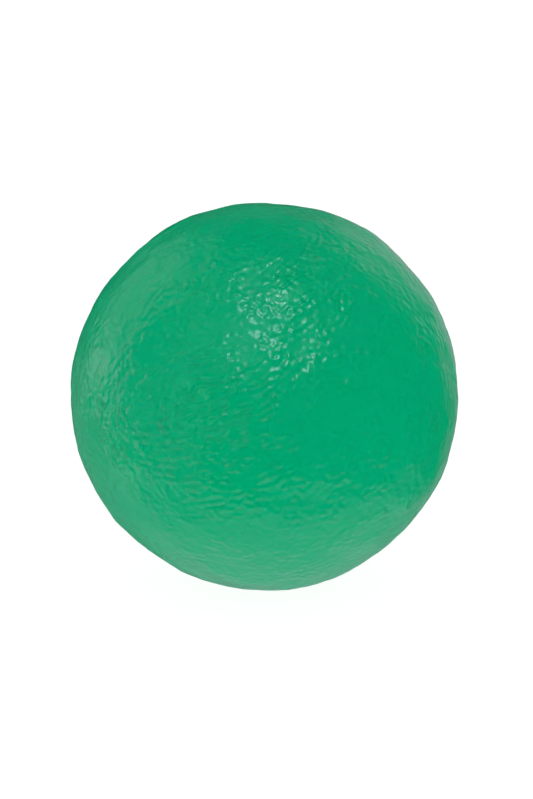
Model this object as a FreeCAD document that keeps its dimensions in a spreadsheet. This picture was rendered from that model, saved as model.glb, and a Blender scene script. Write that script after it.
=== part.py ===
"""A gel hand-exercise ball: a textured elastomer skin filled with soft gel through a port in its back.

Row frame: millimetres, +Z up, origin at the middle of the small flat that the ball's own weight
presses on the table. The port axis runs through the ball's centre along +Y, so the plug is behind.
"""

import FreeCAD, Part
import math
import os
import Sketcher

PARTS_FOLDER = "parts"
SHEET = "Dimensions"

# Driving dimensions, in millimetres.
DIMENSIONS = {
    "ball_diameter": 50.0,
    "rest_patch_diameter": 9.0,
    "skin_wall": 2.0,
    "port_bore": 5.0,
    "port_rim_round": 0.25,
    "recess_diameter": 9.0,
    "recess_depth": 1.3,
    "collar_diameter": 10.0,
    "collar_reach": 3.0,
    "collar_root_round": 0.8,
    "plug_head_diameter": 8.2,
    "plug_edge_round": 0.2,
    "barb_diameter": 6.8,
    "barb_tip_diameter": 3.6,
    "barb_length": 2.5,
    "sealant_film": 0.1,
    "sealant_sink": 0.12,
    "seat_gap": 0.02,
}


def cell(alias):
    """The expression that reads one driving dimension."""
    return f"{SHEET}.{alias}"


def radius(alias):
    """The expression for half of a driving diameter."""
    return f"{SHEET}.{alias} / 2"


BALL_RADIUS = radius("ball_diameter")
CAVITY_RADIUS = f"({BALL_RADIUS} - {cell('skin_wall')})"
# The ball's centre stands over the rest patch.
CENTRE_HEIGHT = f"sqrt(({BALL_RADIUS})^2 - ({radius('rest_patch_diameter')})^2)"
FLOOR_LEVEL = f"-{CENTRE_HEIGHT}"
CAVITY_FLOOR_LEVEL = f"{cell('skin_wall')} - {CENTRE_HEIGHT}"
# Stations along the port axis, measured from the ball's centre.
COLLAR_END = f"({CAVITY_RADIUS} - {cell('collar_reach')})"
RECESS_FLOOR = f"({BALL_RADIUS} - {cell('recess_depth')})"
HEAD_FLOOR = f"({RECESS_FLOOR} + {cell('sealant_film')})"
BARB_SHOULDER = f"({COLLAR_END} - {cell('seat_gap')})"
BARB_TIP = f"({BARB_SHOULDER} - {cell('barb_length')})"
STEM_RADIUS = f"({radius('port_bore')} - {cell('seat_gap')})"

# A coordinate that an arc settles, and on which side of the sketch's origin it lies.
ON_ARC_PLUS = 1
ON_ARC_MINUS = -1

FULL_TURN = 360.0
# How far the port's cutting outline runs past the wall and the collar that it cuts.
OVERRUN = "1"


def make_sheet(document):
    sheet = document.addObject("Spreadsheet::Sheet", SHEET)
    for row, (alias, value) in enumerate(DIMENSIONS.items(), start=1):
        sheet.set(f"A{row}", alias)
        sheet.set(f"B{row}", str(value))
        sheet.setAlias(f"B{row}", alias)
    document.recompute()
    return sheet


def make_body(document, label):
    body = document.addObject("PartDesign::Body", "Body_" + label)
    body.Label = label
    return body


def sketch_at_centre(body, name, plane_role):
    """A sketch on one of the body's origin planes, raised so that its origin is the ball's centre."""
    sketch = body.newObject("Sketcher::SketchObject", name)
    plane = next(f for f in body.Origin.OriginFeatures if f.Role == plane_role)
    sketch.AttachmentSupport = [(plane, "")]
    sketch.MapMode = "FlatFace"
    sketch.setExpression("AttachmentOffset.Base.y", CENTRE_HEIGHT)
    body.Document.recompute()
    return sketch


def corner_positions(sketch, corners, arcs):
    """Where each corner is, in numbers, with the coordinates that the arcs settle worked out."""
    value = lambda expression: float(sketch.evalExpression(expression))
    arc_at = {}
    for edge, arc_radius in arcs.items():
        arc_at[edge] = arc_at[(edge + 1) % len(corners)] = value(arc_radius)
    positions = []
    for number, (x, y) in enumerate(corners):
        if x in (ON_ARC_PLUS, ON_ARC_MINUS):
            known = value(y)
            positions.append((x * math.sqrt(arc_at[number] ** 2 - known**2), known))
        elif y in (ON_ARC_PLUS, ON_ARC_MINUS):
            known = value(x)
            positions.append((known, y * math.sqrt(arc_at[number] ** 2 - known**2)))
        else:
            positions.append((value(x), value(y)))
    return [FreeCAD.Vector(x, y, 0) for x, y in positions]


def bound(sketch, constraint, expression):
    """Adds a dimension to the sketch and ties it to the sheet."""
    number = sketch.addConstraint(constraint)
    sketch.setExpression(f"Constraints[{number}]", expression)


def draw_outline(sketch, corners, arcs):
    """Draws a closed outline through corners, each a pair of expressions in the sketch's x and y.

    arcs maps the number of an edge to its radius: that edge is an arc about the sketch's origin, and
    the corners at its ends give one coordinate each, with ON_ARC_PLUS or ON_ARC_MINUS for the other.
    """
    places = corner_positions(sketch, corners, arcs)
    count = len(corners)
    starts, ends = [], []
    for edge in range(count):
        a, b = places[edge], places[(edge + 1) % count]
        if edge in arcs:
            circle = Part.Circle(FreeCAD.Vector(), FreeCAD.Vector(0, 0, 1), a.Length)
            angle_a, angle_b = math.atan2(a.y, a.x), math.atan2(b.y, b.x)
            forward = angle_a < angle_b
            low, high = min(angle_a, angle_b), max(angle_a, angle_b)
            sketch.addGeometry(Part.ArcOfCircle(circle, low, high))
            starts.append(1 if forward else 2)
            ends.append(2 if forward else 1)
            sketch.addConstraint(Sketcher.Constraint("Coincident", edge, 3, -1, 1))
            bound(sketch, Sketcher.Constraint("Radius", edge, a.Length), arcs[edge])
        else:
            sketch.addGeometry(Part.LineSegment(a, b))
            starts.append(1)
            ends.append(2)
    for edge in range(count):
        after = (edge + 1) % count
        sketch.addConstraint(Sketcher.Constraint("Coincident", edge, ends[edge], after, starts[after]))
    for number, (x, y) in enumerate(corners):
        point = (number, starts[number])
        if isinstance(x, str):
            bound(sketch, Sketcher.Constraint("DistanceX", -1, 1, *point, places[number].x), x)
        if isinstance(y, str):
            bound(sketch, Sketcher.Constraint("DistanceY", -1, 1, *point, places[number].y), y)
    return sketch


def turned(body, kind, sketch, axis):
    """A full turn of a sketch about one of its own axes, added to the body or cut from it."""
    feature = body.newObject("PartDesign::" + kind, sketch.Name + "_turned")
    feature.Profile = (sketch, [""])
    feature.ReferenceAxis = (sketch, [axis])
    feature.Angle = FULL_TURN
    body.Document.recompute()
    return feature


def half(alias):
    """Half of a driving diameter, as a number."""
    return DIMENSIONS[alias] / 2


def ring_edge(shape, station, ring_radius):
    """The name of the edge that rings the port axis at this radius, this far from the ball's centre."""
    near = 0.01
    for number, edge in enumerate(shape.Edges, start=1):
        along = abs(edge.CenterOfMass.y - station)
        if along < near and abs(edge.Length - 2 * math.pi * ring_radius) < near:
            return f"Edge{number}"
    raise RuntimeError(f"no edge of radius {ring_radius} at {station} along the port axis")


def round_ring(body, base, name, sphere_radius, ring_alias, round_alias):
    """Rounds the edge where a cylinder about the port axis meets a sphere about the ball's centre."""
    ring_radius = half(ring_alias)
    station = math.sqrt(sphere_radius**2 - ring_radius**2)
    fillet = body.newObject("PartDesign::Fillet", name)
    fillet.Base = (base, [ring_edge(base.Shape, station, ring_radius)])
    fillet.setExpression("Radius", cell(round_alias))
    body.Document.recompute()
    return fillet


def make_outer_skin(document):
    """The moulded skin: an even wall round the gel, with a collar inside it for the plug's barb."""
    body = make_body(document, "outer_skin")
    shell = sketch_at_centre(body, "shell_outline", "XZ_Plane")
    draw_outline(
        shell,
        [
            (radius("rest_patch_diameter"), ON_ARC_MINUS),
            ("0", ON_ARC_PLUS),
            ("0", ON_ARC_PLUS),
            (ON_ARC_PLUS, CAVITY_FLOOR_LEVEL),
            ("0", CAVITY_FLOOR_LEVEL),
            ("0", FLOOR_LEVEL),
        ],
        {0: BALL_RADIUS, 2: CAVITY_RADIUS},
    )
    turned(body, "Revolution", shell, "V_Axis")

    collar = sketch_at_centre(body, "collar_outline", "YZ_Plane")
    collar_radius = radius("collar_diameter")
    collar_root = f"{BALL_RADIUS} - {cell('skin_wall')} / 2"
    draw_outline(
        collar,
        [(COLLAR_END, "0"), (collar_root, "0"), (collar_root, collar_radius), (COLLAR_END, collar_radius)],
        {},
    )
    turned(body, "Revolution", collar, "H_Axis")

    port = sketch_at_centre(body, "port_outline", "YZ_Plane")
    inside = f"{COLLAR_END} - {OVERRUN}"
    outside = f"{BALL_RADIUS} + {OVERRUN}"
    draw_outline(
        port,
        [
            (inside, "0"),
            (inside, radius("port_bore")),
            (RECESS_FLOOR, radius("port_bore")),
            (RECESS_FLOOR, radius("recess_diameter")),
            (outside, radius("recess_diameter")),
            (outside, "0"),
        ],
        {},
    )
    cut = turned(body, "Groove", port, "H_Axis")

    rim = round_ring(body, cut, "port_rim", half("ball_diameter"), "recess_diameter", "port_rim_round")
    cavity = half("ball_diameter") - DIMENSIONS["skin_wall"]
    round_ring(body, rim, "collar_root", cavity, "collar_diameter", "collar_root_round")
    return body


def make_gel_core(document):
    """The gel: it fills the skin's cavity and closes round the collar and the plug's barb."""
    body = make_body(document, "gel_core")
    fill = sketch_at_centre(body, "gel_outline", "XZ_Plane")
    draw_outline(
        fill,
        [(ON_ARC_PLUS, CAVITY_FLOOR_LEVEL), ("0", ON_ARC_PLUS), ("0", CAVITY_FLOOR_LEVEL)],
        {0: CAVITY_RADIUS},
    )
    turned(body, "Revolution", fill, "V_Axis")

    hollow = sketch_at_centre(body, "collar_hollow_outline", "YZ_Plane")
    tip = f"{BARB_TIP} - {cell('seat_gap')}"
    draw_outline(
        hollow,
        [
            (tip, "0"),
            (tip, f"{radius('barb_tip_diameter')} + {cell('seat_gap')}"),
            (COLLAR_END, f"{radius('barb_diameter')} + {cell('seat_gap')}"),
            (COLLAR_END, radius("collar_diameter")),
            (BALL_RADIUS, radius("collar_diameter")),
            (BALL_RADIUS, "0"),
        ],
        {},
    )
    cut = turned(body, "Groove", hollow, "H_Axis")
    cavity = half("ball_diameter") - DIMENSIONS["skin_wall"]
    round_ring(body, cut, "gel_root", cavity, "collar_diameter", "collar_root_round")
    return body


def make_fill_plug(document):
    """The plug: a domed head flush with the ball, a stem through the port and a barb behind the collar."""
    body = make_body(document, "fill_plug")
    profile = sketch_at_centre(body, "plug_outline", "YZ_Plane")
    draw_outline(
        profile,
        [
            (BARB_TIP, "0"),
            (BARB_TIP, radius("barb_tip_diameter")),
            (BARB_SHOULDER, radius("barb_diameter")),
            (BARB_SHOULDER, STEM_RADIUS),
            (HEAD_FLOOR, STEM_RADIUS),
            (HEAD_FLOOR, radius("plug_head_diameter")),
            (ON_ARC_PLUS, radius("plug_head_diameter")),
            (ON_ARC_PLUS, "0"),
        ],
        {6: BALL_RADIUS},
    )
    domed = turned(body, "Revolution", profile, "H_Axis")
    round_ring(body, domed, "plug_edge", half("ball_diameter"), "plug_head_diameter", "plug_edge_round")
    return body


def make_plug_sealant(document):
    """The cured adhesive: a film under the plug's head and the ring that fills the gap round it."""
    body = make_body(document, "plug_sealant")
    profile = sketch_at_centre(body, "sealant_outline", "YZ_Plane")
    film_start = f"{RECESS_FLOOR} + {cell('seat_gap')}"
    outer = f"{radius('recess_diameter')} - {cell('seat_gap')}"
    inner = f"{radius('port_bore')} + {cell('seat_gap')}"
    head = radius("plug_head_diameter")
    draw_outline(
        profile,
        [
            (film_start, inner),
            (film_start, outer),
            (ON_ARC_PLUS, outer),
            (ON_ARC_PLUS, head),
            (HEAD_FLOOR, head),
            (HEAD_FLOOR, inner),
        ],
        {2: f"{BALL_RADIUS} - {cell('sealant_sink')} - {cell('plug_edge_round')}"},
    )
    turned(body, "Revolution", profile, "H_Axis")
    return body


def check(document, bodies):
    """Stops the build if any object failed, a sketch is loose or a sub-part isn't a sound solid."""
    for item in document.Objects:
        if {"Invalid", "Error"} & set(item.State):
            raise RuntimeError(f"{item.Label} is {item.State}")
        if item.TypeId == "Sketcher::SketchObject" and not item.FullyConstrained:
            raise RuntimeError(f"{item.Label} isn't fully constrained")
    for body in bodies:
        shape = body.Shape
        if shape.isNull() or not shape.isValid() or len(shape.Solids) != 1:
            raise RuntimeError(f"{body.Label} isn't one valid solid")
        print(f"{body.Label}: {shape.Volume:.1f} mm3")


def main():
    document = FreeCAD.newDocument("stress_ball")
    make_sheet(document)
    makers = (make_outer_skin, make_gel_core, make_fill_plug, make_plug_sealant)
    bodies = [make(document) for make in makers]
    document.recompute()
    check(document, bodies)
    os.makedirs(PARTS_FOLDER, exist_ok=True)
    for body in bodies:
        body.Shape.exportStep(os.path.join(PARTS_FOLDER, body.Label + ".step"))


main()
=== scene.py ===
"""A gel hand-exercise ball: its textured skin, gel fill, barbed plug and adhesive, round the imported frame."""

import itertools
import math

import bpy
import numpy as np
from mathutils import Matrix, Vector


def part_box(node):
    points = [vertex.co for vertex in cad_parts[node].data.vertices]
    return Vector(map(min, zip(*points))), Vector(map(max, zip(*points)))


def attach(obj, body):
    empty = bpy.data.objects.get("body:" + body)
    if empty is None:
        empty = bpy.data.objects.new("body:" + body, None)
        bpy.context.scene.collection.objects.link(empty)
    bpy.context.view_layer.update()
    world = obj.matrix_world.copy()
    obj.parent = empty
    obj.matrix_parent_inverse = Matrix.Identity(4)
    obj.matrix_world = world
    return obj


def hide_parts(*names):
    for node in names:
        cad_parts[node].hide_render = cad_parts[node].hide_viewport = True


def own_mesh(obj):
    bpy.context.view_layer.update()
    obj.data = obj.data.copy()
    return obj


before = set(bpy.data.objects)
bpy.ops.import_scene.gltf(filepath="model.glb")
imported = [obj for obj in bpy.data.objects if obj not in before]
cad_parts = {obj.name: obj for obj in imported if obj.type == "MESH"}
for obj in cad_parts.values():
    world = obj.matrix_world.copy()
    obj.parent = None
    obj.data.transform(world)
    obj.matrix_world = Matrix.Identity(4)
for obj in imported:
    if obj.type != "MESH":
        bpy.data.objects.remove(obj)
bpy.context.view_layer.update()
MM = 0.001

# The ball, read from the frame, in metres.
SKIN_LOW, SKIN_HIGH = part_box("outer_skin")
GEL_LOW, GEL_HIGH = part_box("gel_core")
PLUG_LOW, PLUG_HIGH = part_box("fill_plug")
SEAL_LOW, SEAL_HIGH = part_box("plug_sealant")
BALL_RADIUS = (SKIN_HIGH.x - SKIN_LOW.x) / 2
CAVITY_RADIUS = (GEL_HIGH.x - GEL_LOW.x) / 2
CENTRE = Vector((0, 0, SKIN_HIGH.z - BALL_RADIUS))

# The filling port and its plug. Stations are distances from the ball's centre along the port axis, +Y.
SEAT_GAP = 0.02 * MM
HEAD_RADIUS = (PLUG_HIGH.x - PLUG_LOW.x) / 2
RECESS_RADIUS = (SEAL_HIGH.x - SEAL_LOW.x) / 2 + SEAT_GAP
RECESS_FLOOR = SEAL_LOW.y - SEAT_GAP
ADHESIVE_FILM = 0.1 * MM
HEAD_FLOOR = RECESS_FLOOR + ADHESIVE_FILM
BORE_RADIUS = 2.5 * MM
COLLAR_RADIUS = 5 * MM
COLLAR_END = CAVITY_RADIUS - 3 * MM
COLLAR_ROOT_ROUND = 0.8 * MM
PORT_RIM_ROUND = 0.25 * MM
BARB_TIP = PLUG_LOW.y
BARB_SHOULDER = COLLAR_END - SEAT_GAP
BARB_RADIUS = 3.4 * MM
BARB_TIP_RADIUS = 1.8 * MM

# Mesh density: cells along one face of the cube that a ball's surface is mapped from, and half the
# angle that a face covers.
SKIN_CELLS = 120
CAVITY_CELLS = 32
GEL_CELLS = 56
HALF_FACE = math.pi / 4
# The cells across half of the hole that the port makes in a face. Its edge has 8 times as many points.
PORT_CELLS = 8
PORT_POINTS = 8 * PORT_CELLS
# Points whose directions agree to this many decimals are welded. Those within this angle of the
# hole's edge, in radians, are on it.
WELD_DECIMALS = 7
EDGE_TOLERANCE = 1e-4
# Where faces meet at more than this angle, the shading shows an edge.
SHARP_ANGLE = math.radians(40)


# ---------------------------------------------------------------- numbers

def smoothstep(low, high, value):
    """0 below low, 1 above high, and a smooth rise between them."""
    t = np.clip((value - low) / (high - low), 0, 1)
    return t * t * (3 - 2 * t)


def unit(vectors):
    return vectors / np.linalg.norm(vectors, axis=-1, keepdims=True)


class Noise:
    """Gradient noise in three dimensions, from a seed. Its features are about one unit across."""

    SIZE = 256

    def __init__(self, seed):
        draw = np.random.default_rng(seed)
        self.order = draw.permutation(self.SIZE)
        self.gradients = unit(draw.normal(size=(self.SIZE, 3)))

    def __call__(self, points):
        base = np.floor(points).astype(int)
        part = points - base
        fade = part**3 * (part * (part * 6 - 15) + 10)
        total = np.zeros(len(points))
        for corner in itertools.product((0, 1), repeat=3):
            index = np.zeros(len(points), int)
            for axis in range(3):
                index = self.order[(index + base[:, axis] + corner[axis]) % self.SIZE]
            slope = np.sum(self.gradients[index] * (part - corner), axis=1)
            total += slope * np.prod(np.where(corner, fade, 1 - fade), axis=1)
        return total


# ---------------------------------------------------------------- surfaces

def face_axes():
    """For each face of a cube: its outward axis, and two axes across it that make a right-handed set."""
    axes = np.eye(3)
    for first, sign in itertools.product(range(3), (1, -1)):
        outward = sign * axes[first]
        across = axes[(first + 1) % 3]
        yield outward, across, np.cross(outward, across)


def port_face(cells, hole_angle, outward, across, up):
    """Directions over the face that the port goes through, and which are in its hole or on the edge.

    They lie in rings, round at the port and square at the face's edge.
    """
    half = cells // 2
    p, q = np.meshgrid(np.arange(-half, half + 1), np.arange(-half, half + 1), indexing="ij")
    ring = np.maximum(np.maximum(abs(p), abs(q)), PORT_CELLS)
    along = (ring - PORT_CELLS) / (half - PORT_CELLS)
    angle = hole_angle + (HALF_FACE - hole_angle) * along
    s, t = p / ring, q / ring
    square = outward + np.tan(angle * s)[..., None] * across + np.tan(angle * t)[..., None] * up
    turn = np.arctan2(np.tan(HALF_FACE * t), np.tan(HALF_FACE * s))[..., None]
    angle = angle[..., None]
    circle = np.cos(angle) * outward + np.sin(angle) * (np.cos(turn) * across + np.sin(turn) * up)
    mix = smoothstep(0, 1, along)[..., None]
    return unit((1 - mix) * circle + mix * unit(square)), (abs(p) <= PORT_CELLS) & (abs(q) <= PORT_CELLS)


def holed_sphere(cells, hole_angle):
    """Directions and outward-facing quads of a sphere with a hole round +Y, and the hole's edge in order."""
    steps = np.linspace(-HALF_FACE, HALF_FACE, cells + 1)
    a, b = np.meshgrid(np.tan(steps), np.tan(steps), indexing="ij")
    low, high = slice(0, -1), slice(1, None)
    corners = (low, low), (high, low), (high, high), (low, high)
    points, quads = [], []
    for number, (outward, across, up) in enumerate(face_axes()):
        grid = unit(outward + a[..., None] * across + b[..., None] * up)
        inside = np.zeros((cells + 1, cells + 1), bool)
        if outward[1] > 0:
            grid, inside = port_face(cells, hole_angle, outward, across, up)
        index = np.arange((cells + 1) ** 2).reshape(cells + 1, cells + 1) + number * (cells + 1) ** 2
        cell_quads = np.stack([index[c] for c in corners], axis=-1)
        hidden = np.all([inside[c] for c in corners], axis=0)
        points.append(grid.reshape(-1, 3))
        quads.append(cell_quads[~hidden])
    points, quads = np.concatenate(points), np.concatenate(quads)
    used, quads = np.unique(quads, return_inverse=True)
    whole, kept = np.unique(np.round(points[used], WELD_DECIMALS), axis=0, return_inverse=True)
    kept = kept.reshape(-1)
    quads = kept[quads.reshape(-1, 4)]
    from_port = np.arccos(np.clip(whole[:, 1], -1, 1))
    on_edge = np.flatnonzero(np.abs(from_port - hole_angle) < EDGE_TOLERANCE)
    half_step = math.pi / PORT_POINTS
    order = np.argsort((np.arctan2(whole[on_edge, 0], whole[on_edge, 2]) + half_step) % math.tau)
    return unit(whole), quads, on_edge[order]


def lathe_ring(station, radius, count):
    """Points of a ring round the port axis, relative to the ball's centre."""
    turn = np.arange(count) * math.tau / count
    return np.stack([radius * np.sin(turn), np.full(count, station), radius * np.cos(turn)], axis=1)


def strip(first, second):
    """Quads between two rings of point numbers, facing +Y where the second ring is the smaller."""
    return np.stack([first, np.roll(first, -1), np.roll(second, -1), second], axis=1)


def sphere_fillet(sphere_radius, cylinder_radius, fillet_radius, steps=5):
    """The profile (station, radius) of a fillet, from a sphere to a cylinder along the port axis."""
    radius = cylinder_radius + fillet_radius
    station = math.sqrt((sphere_radius - fillet_radius) ** 2 - radius**2)
    start = math.atan2(radius, station)
    turns = np.linspace(start, -math.pi / 2, steps + 1)
    return [(station + fillet_radius * math.cos(t), radius + fillet_radius * math.sin(t)) for t in turns]


def as_object(name, points, faces, material, body):
    """A smooth-shaded mesh object that rides on a body.

    It is made from blocks of points, relative to the ball's centre, and blocks of faces.
    """
    mesh = bpy.data.meshes.new(name)
    corners = [face for block in faces for face in block.tolist()]
    mesh.from_pydata((np.concatenate(points) + np.array(CENTRE)).tolist(), [], corners)
    mesh.validate()
    mesh.shade_smooth()
    mesh.set_sharp_from_angle(angle=SHARP_ANGLE)
    mesh.materials.append(material)
    made = bpy.data.objects.new(name, mesh)
    bpy.context.scene.collection.objects.link(made)
    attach(made, body)
    return made


# ---------------------------------------------------------------- the skin's relief

# Layers of the moulded surface: seed, feature size in mm and root-mean-square height in mm.
RELIEF_LAYERS = [
    (11, 14.0, 0.080),   # lumps that show in the outline
    (12, 5.0, 0.055),    # shallow undulations
    (13, 2.6, 0.022),    # dimples
    (14, 1.4, 0.012),    # ripples
    (15, 0.85, 0.007),   # pebble grain
]
# The relief fades out towards the port's moulded rim, over this many radians.
PORT_FADE = 0.12


def layer(place, seed, size, height):
    """One noise field over points in millimetres, scaled to a root-mean-square height."""
    field = Noise(seed)(place / size)
    return field * (height / np.std(field))


def relief(directions, hole_angle):
    """How far the surface stands out of its mean sphere at each direction, in metres."""
    place = directions * (BALL_RADIUS / MM)
    total = sum(layer(place, *entry) for entry in RELIEF_LAYERS)
    from_port = np.arccos(np.clip(directions[:, 1], -1, 1)) - hole_angle
    return total * MM * smoothstep(0, PORT_FADE, from_port)


# ---------------------------------------------------------------- pieces

def seated(points, floor):
    """Points of the ball, relative to its centre, pressed flat where they would pass below the floor."""
    flat = points.copy()
    flat[:, 2] = np.maximum(flat[:, 2], floor - CENTRE.z)
    return flat


def turned_rings(points, faces, profile, first=None, count=PORT_POINTS, closed=False):
    """Adds rings for a profile of (station, radius), joins each to the one before, and returns them all.

    A closed profile's first ring is joined to its last too.
    """
    rings = [] if first is None else [first]
    start = sum(len(p) for p in points)
    for station, radius in profile:
        points.append(lathe_ring(station, radius, count))
        rings.append(np.arange(start, start + count))
        start += count
    for before, after in itertools.pairwise(rings + rings[:1] if closed else rings):
        faces.append(strip(before, after))
    return rings


def make_skin(material):
    """One closed wall: textured outside, port and collar at the back, plain cavity inside."""
    rim = sphere_fillet(BALL_RADIUS, RECESS_RADIUS, PORT_RIM_ROUND)
    root = sphere_fillet(CAVITY_RADIUS, COLLAR_RADIUS, COLLAR_ROOT_ROUND)
    outer, outer_quads, outer_edge = holed_sphere(SKIN_CELLS, math.atan2(rim[0][1], rim[0][0]))
    inner, inner_quads, inner_edge = holed_sphere(CAVITY_CELLS, math.atan2(root[0][1], root[0][0]))
    radius = BALL_RADIUS + relief(outer, math.atan2(rim[0][1], rim[0][0]))
    points = [seated(outer * radius[:, None], 0), seated(inner * CAVITY_RADIUS, GEL_LOW.z)]
    faces = [outer_quads, inner_quads[:, ::-1] + len(outer)]
    port = rim[1:] + [
        (RECESS_FLOOR, RECESS_RADIUS),
        (RECESS_FLOOR, BORE_RADIUS),
        (COLLAR_END, BORE_RADIUS),
        (COLLAR_END, COLLAR_RADIUS),
    ] + root[:0:-1]
    rings = turned_rings(points, faces, port, first=outer_edge)
    faces.append(strip(rings[-1], inner_edge + len(outer)))
    skin = as_object("textured_skin", points, faces, material, "ball")
    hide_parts("outer_skin")
    return skin


def capped(points, faces, ring, outward):
    """Closes a ring with a fan round a point on the port axis, at the ring's own station."""
    centre = sum(len(p) for p in points)
    station = np.concatenate(points)[ring[0], 1]
    points.append(np.array([[0, station, 0]]))
    fan = np.stack([ring, np.roll(ring, -1), np.full(len(ring), centre)], axis=1)
    faces.append(fan if outward else fan[:, ::-1])


# Air bubbles trapped between the skin and the gel: how many there are, a seed for their places, their
# radii in radians, and their depth over radius.
GEL_BUBBLES = 70
GEL_BUBBLE_SEED = 31
GEL_BUBBLE_SIZES = (0.012, 0.035)
GEL_BUBBLE_DEPTH = 0.35


def bubble_dimples(directions):
    """The dents that air bubbles, trapped against the skin, leave in the gel, in metres."""
    draw = np.random.default_rng(GEL_BUBBLE_SEED)
    places = unit(draw.normal(size=(GEL_BUBBLES, 3)))
    sizes = draw.uniform(*GEL_BUBBLE_SIZES, GEL_BUBBLES)
    depth = np.zeros(len(directions))
    for place, size in zip(places, sizes):
        away = np.arccos(np.clip(directions @ place, -1, 1)) / size
        depth = np.maximum(depth, GEL_BUBBLE_DEPTH * size * CAVITY_RADIUS * np.clip(1 - away**2, 0, 1))
    return depth


def make_gel(material):
    """The gel: it fills the cavity and wraps the collar and the plug's barb."""
    root = sphere_fillet(CAVITY_RADIUS, COLLAR_RADIUS, COLLAR_ROOT_ROUND)
    shell, quads, edge = holed_sphere(GEL_CELLS, math.atan2(root[0][1], root[0][0]))
    radius = CAVITY_RADIUS - bubble_dimples(shell)
    points, faces = [seated(shell * radius[:, None], GEL_LOW.z)], [quads]
    hollow = root[1:] + [
        (COLLAR_END, COLLAR_RADIUS),
        (COLLAR_END, BARB_RADIUS + SEAT_GAP),
        (BARB_TIP - SEAT_GAP, BARB_TIP_RADIUS + SEAT_GAP),
    ]
    rings = turned_rings(points, faces, hollow, first=edge)
    capped(points, faces, rings[-1], True)
    gel = as_object("gel_fill", points, faces, material, "ball")
    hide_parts("gel_core")
    return gel


PLUG_POINTS = 2 * PORT_POINTS
PLUG_EDGE_ROUND = 0.2 * MM
PLUG_EDGE_STEPS = 6
BARB_ROUND = 0.3 * MM
# The plug's moulded rings (radius), each a shallow rounded groove, and the dimple left by its gate.
RING_RADII = (1.5 * MM, 2.3 * MM, 3.1 * MM)
RING_WIDTH = 0.16 * MM
RING_DEPTH = 0.09 * MM
GATE_RADIUS = 0.75 * MM
GATE_DEPTH = 0.16 * MM
GATE_FLOOR_SHARE = 0.7
GATE_NUB_RADIUS = 0.3 * MM
GATE_NUB_HEIGHT = 0.14 * MM
GATE_NUB_TOP_SHARE = 0.6
DOME_STEP = 0.06 * MM


def dome_station(radius):
    """How far along the port axis the plug's head stands at a radius, with its rings and gate."""
    station = math.sqrt(BALL_RADIUS**2 - radius**2)
    for ring_radius in RING_RADII:
        station -= RING_DEPTH * math.exp(-(((radius - ring_radius) / RING_WIDTH) ** 2))
    gate_floor, nub_top = GATE_FLOOR_SHARE * GATE_RADIUS, GATE_NUB_TOP_SHARE * GATE_NUB_RADIUS
    station -= GATE_DEPTH * (1 - smoothstep(gate_floor, GATE_RADIUS, radius))
    station += GATE_NUB_HEIGHT * (1 - smoothstep(nub_top, GATE_NUB_RADIUS, radius))
    return float(station)


def make_plug(material):
    """The plug: a barb behind the collar, a stem through the port and a ringed head flush with the skin."""
    stem_radius = BORE_RADIUS - SEAT_GAP
    radius = HEAD_RADIUS - PLUG_EDGE_ROUND
    edge_station = math.sqrt((BALL_RADIUS - PLUG_EDGE_ROUND) ** 2 - radius**2)
    outline = [
        (BARB_TIP, BARB_TIP_RADIUS - BARB_ROUND),
        (BARB_TIP + 0.3 * BARB_ROUND, BARB_TIP_RADIUS - 0.3 * BARB_ROUND),
        (BARB_TIP + BARB_ROUND, BARB_TIP_RADIUS + 0.1 * BARB_ROUND),
        (BARB_SHOULDER - 0.5 * BARB_ROUND, BARB_RADIUS - 0.1 * BARB_ROUND),
        (BARB_SHOULDER - 0.15 * BARB_ROUND, BARB_RADIUS - 0.15 * BARB_ROUND),
        (BARB_SHOULDER, BARB_RADIUS - 0.5 * BARB_ROUND),
        (BARB_SHOULDER, stem_radius),
        (HEAD_FLOOR, stem_radius),
        (HEAD_FLOOR, HEAD_RADIUS),
    ]
    turns = np.linspace(0, math.atan2(edge_station, radius), PLUG_EDGE_STEPS)
    round_off = [(PLUG_EDGE_ROUND * math.sin(t), PLUG_EDGE_ROUND * math.cos(t)) for t in turns]
    edge = [(edge_station + along, radius + across) for along, across in round_off]
    dome_radii = np.arange(edge[-1][1] - DOME_STEP, DOME_STEP / 2, -DOME_STEP)
    dome = [(dome_station(r), r) for r in dome_radii]
    points, faces = [], []
    rings = turned_rings(points, faces, outline + edge + dome, count=PLUG_POINTS)
    capped(points, faces, rings[0], False)
    capped(points, faces, rings[-1], True)
    plug = as_object("barbed_plug", points, faces, material, "plug")
    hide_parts("fill_plug")
    return plug


# The bead's top: how far it is sunk below the ball and hollowed, and how uneven it is: its height, its
# share at the bead's edges, and its waves for each radian round the port.
BEAD_STEPS = 9
BEAD_SINK = 0.32 * MM
BEAD_MENISCUS = 0.1 * MM
BEAD_WOBBLE = 0.05 * MM
BEAD_WOBBLE_SEED = 41
BEAD_WOBBLE_EDGE_SHARE = 0.4
BEAD_WOBBLE_WAVES = 2.2


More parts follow.
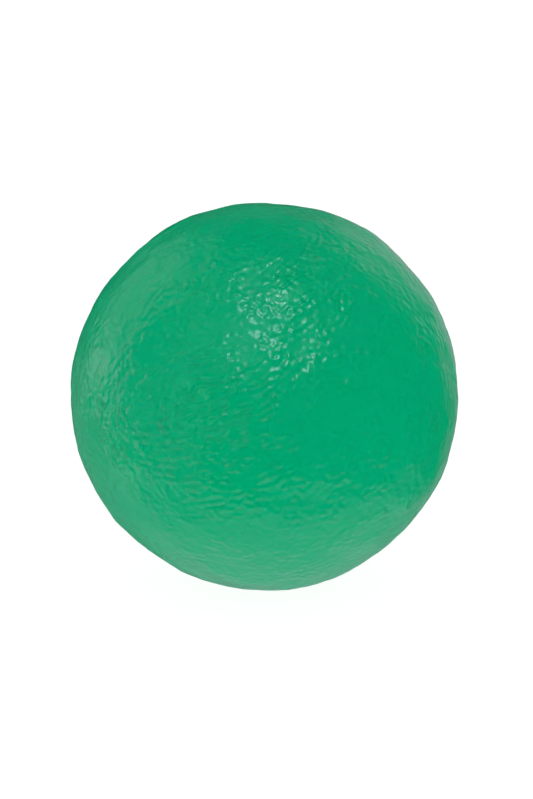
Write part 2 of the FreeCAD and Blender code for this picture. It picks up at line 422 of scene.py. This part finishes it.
def make_sealant(material):
    """The adhesive: a film under the plug's head, and a hollow-topped bead in the gap round it."""
    inner, outer = BORE_RADIUS + SEAT_GAP, RECESS_RADIUS - SEAT_GAP
    film_start = RECESS_FLOOR + SEAT_GAP
    across = np.linspace(0, 1, BEAD_STEPS)
    hollow = np.sin(math.pi * across)
    radii = outer + (HEAD_RADIUS - outer) * across
    stations = np.sqrt((BALL_RADIUS - BEAD_SINK) ** 2 - radii**2) - BEAD_MENISCUS * hollow
    film_edge = [(film_start, inner), (film_start, outer)]
    bead = list(zip(stations, radii))
    outline = film_edge + bead + [(HEAD_FLOOR, HEAD_RADIUS), (HEAD_FLOOR, inner)]
    points, faces = [], []
    turned_rings(points, faces, outline, count=PLUG_POINTS, closed=True)
    bead_rings = points[len(film_edge):len(film_edge) + len(bead)]
    for ring, share in zip(bead_rings, hollow + BEAD_WOBBLE_EDGE_SHARE):
        waves = Noise(BEAD_WOBBLE_SEED)(unit(ring * (1, 0, 1)) * BEAD_WOBBLE_WAVES)
        ring[:, 1] += share * BEAD_WOBBLE * waves
    sealant = as_object("adhesive_bead", points, faces, material, "plug")
    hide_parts("plug_sealant")
    return sealant


# ---------------------------------------------------------------- materials

def towards(azimuth, elevation):
    """The direction of an azimuth, from the front towards +X, and an elevation, in degrees."""
    a, e = math.radians(azimuth), math.radians(elevation)
    return Vector((math.sin(a) * math.cos(e), -math.cos(a) * math.cos(e), math.sin(e)))


def add(tree, kind, inputs, output=0, **settings):
    """Adds a shader node and returns one of its outputs.

    inputs maps a socket's name or number to a value or to another node's output.
    """
    made = tree.nodes.new("ShaderNode" + kind)
    for name, value in settings.items():
        setattr(made, name, value)
    for name, value in inputs.items():
        if isinstance(value, bpy.types.NodeSocket):
            tree.links.new(value, made.inputs[name])
        else:
            made.inputs[name].default_value = value
    return made.outputs[output]


def math_node(tree, operation, first, second=0.0):
    return add(tree, "Math", {0: first, 1: second}, operation=operation)


def spread(tree, value, low, high, to_low=0.0, to_high=1.0):
    """Maps value smoothly from one range to another."""
    inputs = {"Value": value, "From Min": low, "From Max": high, "To Min": to_low, "To Max": to_high}
    return add(tree, "MapRange", inputs, interpolation_type="SMOOTHSTEP")


def noise(tree, place, size, detail=2.0, roughness=0.5, distortion=0.0):
    """Noise with features about size metres across, from 0 to 1."""
    inputs = {"Vector": place, "Scale": 1 / size, "Detail": detail}
    inputs.update({"Roughness": roughness, "Distortion": distortion})
    return add(tree, "TexNoise", inputs)


def spot(tree, direction, azimuth, elevation, half_angle, soft, low=0.0, high=1.0):
    """High inside a soft-edged cone of directions and low outside it. The angles are in degrees."""
    inputs = {0: direction, 1: towards(azimuth, elevation)}
    facing = add(tree, "VectorMath", inputs, output="Value", operation="DOT_PRODUCT")
    edges = (math.cos(math.radians(half_angle + side * soft)) for side in (1, -1))
    return spread(tree, facing, *edges, low, high)


def spots(tree, direction, zones):
    """The highest of several spots. A zone gives a spot's numbers, in order, after its direction."""
    highest = 0.0
    for zone in zones:
        highest = math_node(tree, "MAXIMUM", highest, spot(tree, direction, *zone))
    return highest


def blended(tree, share, first, second):
    """A colour between two, by share."""
    inputs = {"Factor": share, "A": first, "B": second}
    return add(tree, "Mix", inputs, output="Result", data_type="RGBA")


def surface(name, **constants):
    """A Principled material with constants on its sockets, its tree and shader, and object coordinates."""
    material = bpy.data.materials.new(name)
    material.use_nodes = True
    tree = material.node_tree
    shader = tree.nodes["Principled BSDF"]
    for socket, value in constants.items():
        shader.inputs[socket.replace("_", " ")].default_value = value
    return material, tree, shader, add(tree, "TexCoord", {}, output="Object")


def connect(tree, shader, **sockets):
    for socket, output in sockets.items():
        tree.links.new(output, shader.inputs[socket.replace("_", " ")])


def bumped(tree, height):
    """A normal from a height in millimetres."""
    return add(tree, "Bump", {"Strength": 1.0, "Distance": MM, "Height": height})


def from_centre(tree, place):
    """Where a point lies from the ball's centre."""
    return add(tree, "VectorMath", {0: place, 1: -CENTRE}, operation="ADD")


def bubbled(tree, place, spacing):
    """The distance to the nearest of some scattered bubbles, as a share of the space between them."""
    return add(tree, "TexVoronoi", {"Vector": place, "Scale": 1 / spacing}, output="Distance")


CLEAN_GREEN = (0.0, 0.350, 0.151, 1)
BLOOM_GREEN = (0.0, 0.346, 0.155, 1)
# Glossy pebbles all over the skin: their size, and the least and greatest height in mm.
PEBBLE_SIZE = 0.77 * MM
PEBBLE_HEIGHTS = (0.12, 0.33)
# Faint strokes, left as the mould filled. They are pieces of wobbling rings round its gate, high on the
# left: where it lies from the ball's centre, the rings' spacing and wobble, and where they show (see
# spot), to what height in mm.
GATE = towards(-50, 62) * BALL_RADIUS
FLOW_SPACING = 0.85 * MM
FLOW_WOBBLE = 1.3 * MM
FLOW_ZONES = ((-16, 2, 20, 10, 0.0, 0.09), (24, 48, 13, 8, 0.0, 0.05))
# Where the pebbles stand at their full height or more (see spot). Elsewhere handling has worn them
# down, to a share of it.
CRISP_ZONES = ((2, 15, 44, 14), (-36, 6, 18, 8, 0.0, 1.8), (174, 8, 46, 14))
WORN_SHARE = 0.6
# A finer grain: its size, and where it stands higher (see spot), with its height in mm outside and inside.
GRAIN_SIZE = 0.4 * MM
GRAIN_ZONE = (-34, 6, 20, 9, 0.02, 0.07)


def skin_material():
    """Pebbled elastomer, with a soft gloss."""
    material, tree, shader, place = surface(
        "skin_elastomer",
        IOR=1.5,
        Subsurface_Weight=0.3,
        Subsurface_Radius=(0.25, 1.0, 0.55),
        Subsurface_Scale=1.2 * MM,
    )
    centred = from_centre(tree, place)
    outward = add(tree, "VectorMath", {0: centred}, operation="NORMALIZE")
    crisp = spots(tree, outward, CRISP_ZONES)
    bloom = spread(tree, noise(tree, place, 9 * MM, detail=2.0), 0.35, 0.7)
    pebble = noise(tree, place, PEBBLE_SIZE, detail=0.0)
    depth = spread(tree, noise(tree, place, 3 * MM, detail=0.0), 0.3, 0.7, *PEBBLE_HEIGHTS)
    stand = math_node(tree, "ADD", math_node(tree, "MULTIPLY", crisp, 1 - WORN_SHARE), WORN_SHARE)
    depth = math_node(tree, "MULTIPLY", depth, stand)
    grain = noise(tree, place, GRAIN_SIZE, detail=1.0)
    from_gate = add(tree, "VectorMath", {0: centred, 1: GATE}, output="Value", operation="DISTANCE")
    wobble = math_node(tree, "MULTIPLY", noise(tree, place, 3 * MM, detail=1.0), FLOW_WOBBLE)
    turn = math_node(tree, "MULTIPLY", math_node(tree, "ADD", from_gate, wobble), math.tau / FLOW_SPACING)
    flow = math_node(tree, "MULTIPLY", math_node(tree, "SINE", turn), spots(tree, outward, FLOW_ZONES))
    broken = spread(tree, noise(tree, place, 1.8 * MM, detail=1.0), 0.42, 0.62)
    height = math_node(tree, "MULTIPLY", pebble, depth)
    for detail, amount in ((grain, spot(tree, outward, *GRAIN_ZONE)), (flow, broken)):
        height = math_node(tree, "ADD", height, math_node(tree, "MULTIPLY", detail, amount))
    colour = blended(tree, bloom, CLEAN_GREEN, BLOOM_GREEN)
    haze = spread(tree, bloom, 0, 1, 0.0, 0.05)
    roughness = math_node(tree, "ADD", haze, spread(tree, crisp, 0, 1, 0.3, 0.25))
    connect(tree, shader, Base_Color=colour, Roughness=roughness, Normal=bumped(tree, height))
    return material


GEL_DEEP = (0.004, 0.27, 0.12, 1)
GEL_CLOUD = (0.02, 0.36, 0.18, 1)
GEL_BUBBLE = (0.12, 0.45, 0.28, 1)


def gel_material():
    """Wet, clouded gel with pinhead bubbles."""
    material, tree, shader, place = surface(
        "gel",
        IOR=1.46,
        Subsurface_Weight=0.8,
        Subsurface_Radius=(0.3, 1.0, 0.6),
        Subsurface_Scale=4 * MM,
        Coat_Weight=0.6,
        Coat_Roughness=0.04,
    )
    clouds = noise(tree, place, 7 * MM, detail=4.0)
    bubbles = bubbled(tree, place, 2.4 * MM)
    colour = blended(tree, spread(tree, clouds, 0.35, 0.65), GEL_DEEP, GEL_CLOUD)
    colour = blended(tree, spread(tree, bubbles, 0.1, 0.16, 0.5, 0.0), colour, GEL_BUBBLE)
    roughness = spread(tree, clouds, 0.3, 0.7, 0.08, 0.2)
    height = spread(tree, bubbles, 0.06, 0.2, 0.03, 0.0)
    connect(tree, shader, Base_Color=colour, Roughness=roughness, Normal=bumped(tree, height))
    return material


PLUG_DARK = (0.0006, 0.30, 0.118, 1)
PLUG_LIGHT = (0.003, 0.335, 0.142, 1)
PLUG_SCUFF = (0.03, 0.37, 0.19, 1)
# The turning marks' wave, in radians for each metre from the axis, and the marks' and scuffs' heights in mm.
TURNING_WAVE = 52000
TURNING_HEIGHT = 0.0012
SCUFF_HEIGHT = 0.012


def plug_material():
    """Harder moulded elastomer, with fine turning marks round the port axis and a few scuffs."""
    material, tree, shader, place = surface(
        "plug_elastomer",
        IOR=1.5,
        Subsurface_Weight=0.2,
        Subsurface_Radius=(0.25, 1.0, 0.55),
        Subsurface_Scale=0.8 * MM,
        Sheen_Weight=0.03,
    )
    flat = add(tree, "VectorMath", {0: from_centre(tree, place), 1: (1, 0, 1)}, operation="MULTIPLY")
    from_axis = add(tree, "VectorMath", {0: flat}, output="Value", operation="LENGTH")
    wobble = math_node(tree, "MULTIPLY", noise(tree, place, 1.5 * MM), 0.2 * MM)
    turn = math_node(tree, "MULTIPLY", math_node(tree, "ADD", from_axis, wobble), TURNING_WAVE)
    marks = math_node(tree, "MULTIPLY", math_node(tree, "SINE", turn), TURNING_HEIGHT)
    scuffs = noise(tree, place, 0.5 * MM, detail=5.0, roughness=0.7)
    mottle = noise(tree, place, 2 * MM, detail=2.0)
    colour = blended(tree, spread(tree, mottle, 0.3, 0.7), PLUG_DARK, PLUG_LIGHT)
    colour = blended(tree, spread(tree, scuffs, 0.62, 0.75, 0.0, 0.5), colour, PLUG_SCUFF)
    roughness = spread(tree, scuffs, 0.35, 0.7, 0.26, 0.42)
    height = math_node(tree, "ADD", marks, math_node(tree, "MULTIPLY", scuffs, SCUFF_HEIGHT))
    connect(tree, shader, Base_Color=colour, Roughness=roughness, Normal=bumped(tree, height))
    return material


SEALANT_DEEP = (0.002, 0.25, 0.10, 1)
SEALANT_CLEAR = (0.006, 0.31, 0.135, 1)
SEALANT_BUBBLE = (0.10, 0.42, 0.25, 1)


def sealant_material():
    """Glossy cured adhesive, a little clearer and darker than the skin, with tiny bubbles."""
    material, tree, shader, place = surface(
        "cured_adhesive",
        IOR=1.5,
        Subsurface_Weight=0.5,
        Subsurface_Radius=(0.3, 1.0, 0.6),
        Subsurface_Scale=1.5 * MM,
        Coat_Weight=0.8,
        Coat_Roughness=0.05,
    )
    flow = noise(tree, place, 1.1 * MM, detail=2.0, distortion=1.0)
    bubbles = bubbled(tree, place, 0.8 * MM)
    colour = blended(tree, spread(tree, flow, 0.3, 0.7), SEALANT_DEEP, SEALANT_CLEAR)
    colour = blended(tree, spread(tree, bubbles, 0.08, 0.14, 0.6, 0.0), colour, SEALANT_BUBBLE)
    roughness = spread(tree, flow, 0.3, 0.7, 0.1, 0.22)
    height = math_node(tree, "MULTIPLY", flow, 0.06)
    connect(tree, shader, Base_Color=colour, Roughness=roughness, Normal=bumped(tree, height))
    return material


# ---------------------------------------------------------------- studio

# What the gloss reflects of the studio: soft panels round a dim front. The brighter shows in an overlap.
# Azimuth and elevation of the middle, half angle and soft edge, all in degrees, and brightness.
PANELS = [
    (155, -81, 45, 9, 0.62),    # the table, near the ball
    (-103, -32, 11, 6, 1.15),   # its left side
    (-72, -42, 10, 8, 0.3),
    (-143, -24, 16, 9, 0.25),
    (-118, 3, 11, 6, 1.3),      # a window, on the left
    (-126, 32, 18, 8, 0.55),
    (-110, 50, 11, 7, 0.45),
    (148, 26, 14, 8, 0.6),      # a far wall, behind on the right
    (155, 4, 15, 8, 0.65),
    (168, -18, 16, 9, 0.45),
    (178, 24, 12, 8, 0.12),
    (-42, -1, 6, 4, 2.0),       # small lamps in the room, front left
    (-62, -10, 5, 4, 0.9),
    (-60, 8, 5, 4, 1.4),
    (-56, 40, 6, 4, 1.0),
    (-22, 30, 7, 4, 1.5),
    (15, 58, 14, 10, 0.15),     # the ceiling round the key lamp
    (36, 79, 5, 4, 0.6),        # lamps overhead
    (-92, 80, 5, 4, 0.5),
    (55, 67, 6, 4, 0.6),
]
DIM_FRONT = 0.008
PANEL_TINT = (1.0, 0.62, 0.93, 1)


def make_world():
    """White to the camera and soft panels to the gloss. The surfaces' own colour is lit by the lamps."""
    world = bpy.data.worlds.new("studio")
    world.use_nodes = True
    world.cycles.sampling_method = "NONE"
    bpy.context.scene.world = world
    tree = world.node_tree
    direction = add(tree, "TexCoord", {}, output="Generated")
    shine = DIM_FRONT
    for azimuth, elevation, half_angle, soft, brightness in PANELS:
        panel = spot(tree, direction, azimuth, elevation, half_angle, soft, 0.0, brightness)
        shine = math_node(tree, "MAXIMUM", shine, panel)
    path = tree.nodes.new("ShaderNodeLightPath").outputs
    strength = add(tree, "Mix", {"Factor": path["Is Glossy Ray"], "A": 0.0, "B": shine})
    strength = add(tree, "Mix", {"Factor": path["Is Camera Ray"], "A": strength, "B": 1.0})
    tint = blended(tree, path["Is Camera Ray"], PANEL_TINT, (1, 1, 1, 1))
    tree.links.new(strength, tree.nodes["Background"].inputs["Strength"])
    tree.links.new(tint, tree.nodes["Background"].inputs["Color"])


# The key lamp: its azimuth, elevation and half angle in degrees, its distance in metres, and its light.
KEY_AZIMUTH = 10
KEY_ELEVATION = 57
KEY_HALF_ANGLE = 7.5
KEY_DISTANCE = 0.5
KEY_RADIANCE = 13.0
KEY_TINT = (0.87, 0.94, 1.2)


def make_key_light():
    """A round soft lamp above the camera, a little to the right. It makes the glints, and nothing else."""
    radius = KEY_DISTANCE * math.tan(math.radians(KEY_HALF_ANGLE))
    lamp = bpy.data.lights.new("key", "AREA")
    lamp.shape = "DISK"
    lamp.size = 2 * radius
    lamp.energy = KEY_RADIANCE * math.pi * math.pi * radius**2
    lamp.color = KEY_TINT
    key = bpy.data.objects.new("key", lamp)
    bpy.context.scene.collection.objects.link(key)
    direction = towards(KEY_AZIMUTH, KEY_ELEVATION)
    key.location = CENTRE + direction * KEY_DISTANCE
    key.rotation_euler = direction.to_track_quat("Z", "Y").to_euler()
    key.visible_camera = False
    key.visible_diffuse = False


# Lamps that light the surfaces' own colour: the elevation each comes from, and its strength.
FILLS = {"above": (90, 3.23), "front": (-15, 0.24), "below": (-90, 3.51)}


def make_fill(name, elevation, strength):
    """Even light from a whole half of the studio. It makes no highlight."""
    lamp = bpy.data.lights.new(name, "SUN")
    lamp.angle = math.pi
    lamp.energy = strength
    lamp.cycles.use_multiple_importance_sampling = False
    fill = bpy.data.objects.new(name, lamp)
    bpy.context.scene.collection.objects.link(fill)
    fill.rotation_euler = towards(0, elevation).to_track_quat("Z", "Y").to_euler()
    fill.visible_glossy = False


FLOOR_RADIUS = 12
FLOOR_POINTS = 96
FLOOR_GLOW = 0.93
FLOOR_DARK = (0.13, 0.13, 0.13, 1)
FLOOR_PALE = (0.15, 0.15, 0.15, 1)


def make_floor():
    """A plain pale floor, lit from within. The gloss sees the studio's table in its place."""
    material, tree, shader, place = surface("pale_floor", Roughness=0.9, Specular_IOR_Level=0.0)
    speckle = noise(tree, place, 3 * MM, detail=2.0)
    colour = blended(tree, spread(tree, speckle, 0.3, 0.7), FLOOR_DARK, FLOOR_PALE)
    connect(tree, shader, Base_Color=colour)
    shader.inputs["Emission Color"].default_value = (1, 1, 1, 1)
    shader.inputs["Emission Strength"].default_value = FLOOR_GLOW
    bpy.ops.mesh.primitive_circle_add(
        vertices=FLOOR_POINTS,
        radius=FLOOR_RADIUS,
        fill_type="NGON",
        location=(0, 0, 0),
    )
    floor = bpy.context.object
    floor.name = "floor"
    floor.data.materials.append(material)
    floor.visible_glossy = False
    floor.visible_diffuse = False
    floor.visible_shadow = False


CAMERA_ELEVATION = 13.0
CAMERA_LENS = 85.0
CAMERA_DISTANCE = 244.6 * MM
# The view's middle lies a little to the right of the ball's centre, and below it.
AIM = CENTRE + Vector((0.197, 0, -0.412)) * MM


def make_camera():
    camera_data = bpy.data.cameras.new("camera")
    camera_data.lens = CAMERA_LENS
    camera_data.clip_start = 1 * MM
    camera = bpy.data.objects.new("camera", camera_data)
    bpy.context.scene.collection.objects.link(camera)
    direction = towards(0, CAMERA_ELEVATION)
    camera.location = AIM + direction * CAMERA_DISTANCE
    camera.rotation_euler = direction.to_track_quat("Z", "Y").to_euler()
    bpy.context.scene.camera = camera


# ---------------------------------------------------------------- assembly

skin = make_skin(skin_material())
gel = make_gel(gel_material())
plug = make_plug(plug_material())
sealant = make_sealant(sealant_material())

# Each piece gets a mesh of its own. The end each would stay fixed at, front or back, is listed but not used.
FRONT, BACK = -BALL_RADIUS, BALL_RADIUS
for piece, fixed_end in ((skin, FRONT), (gel, FRONT), (plug, BACK), (sealant, BACK)):
    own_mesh(piece)

make_world()
make_key_light()
for name, (elevation, strength) in FILLS.items():
    make_fill(name, elevation, strength)
make_floor()
make_camera()
bpy.context.scene.view_settings.view_transform = "Standard"
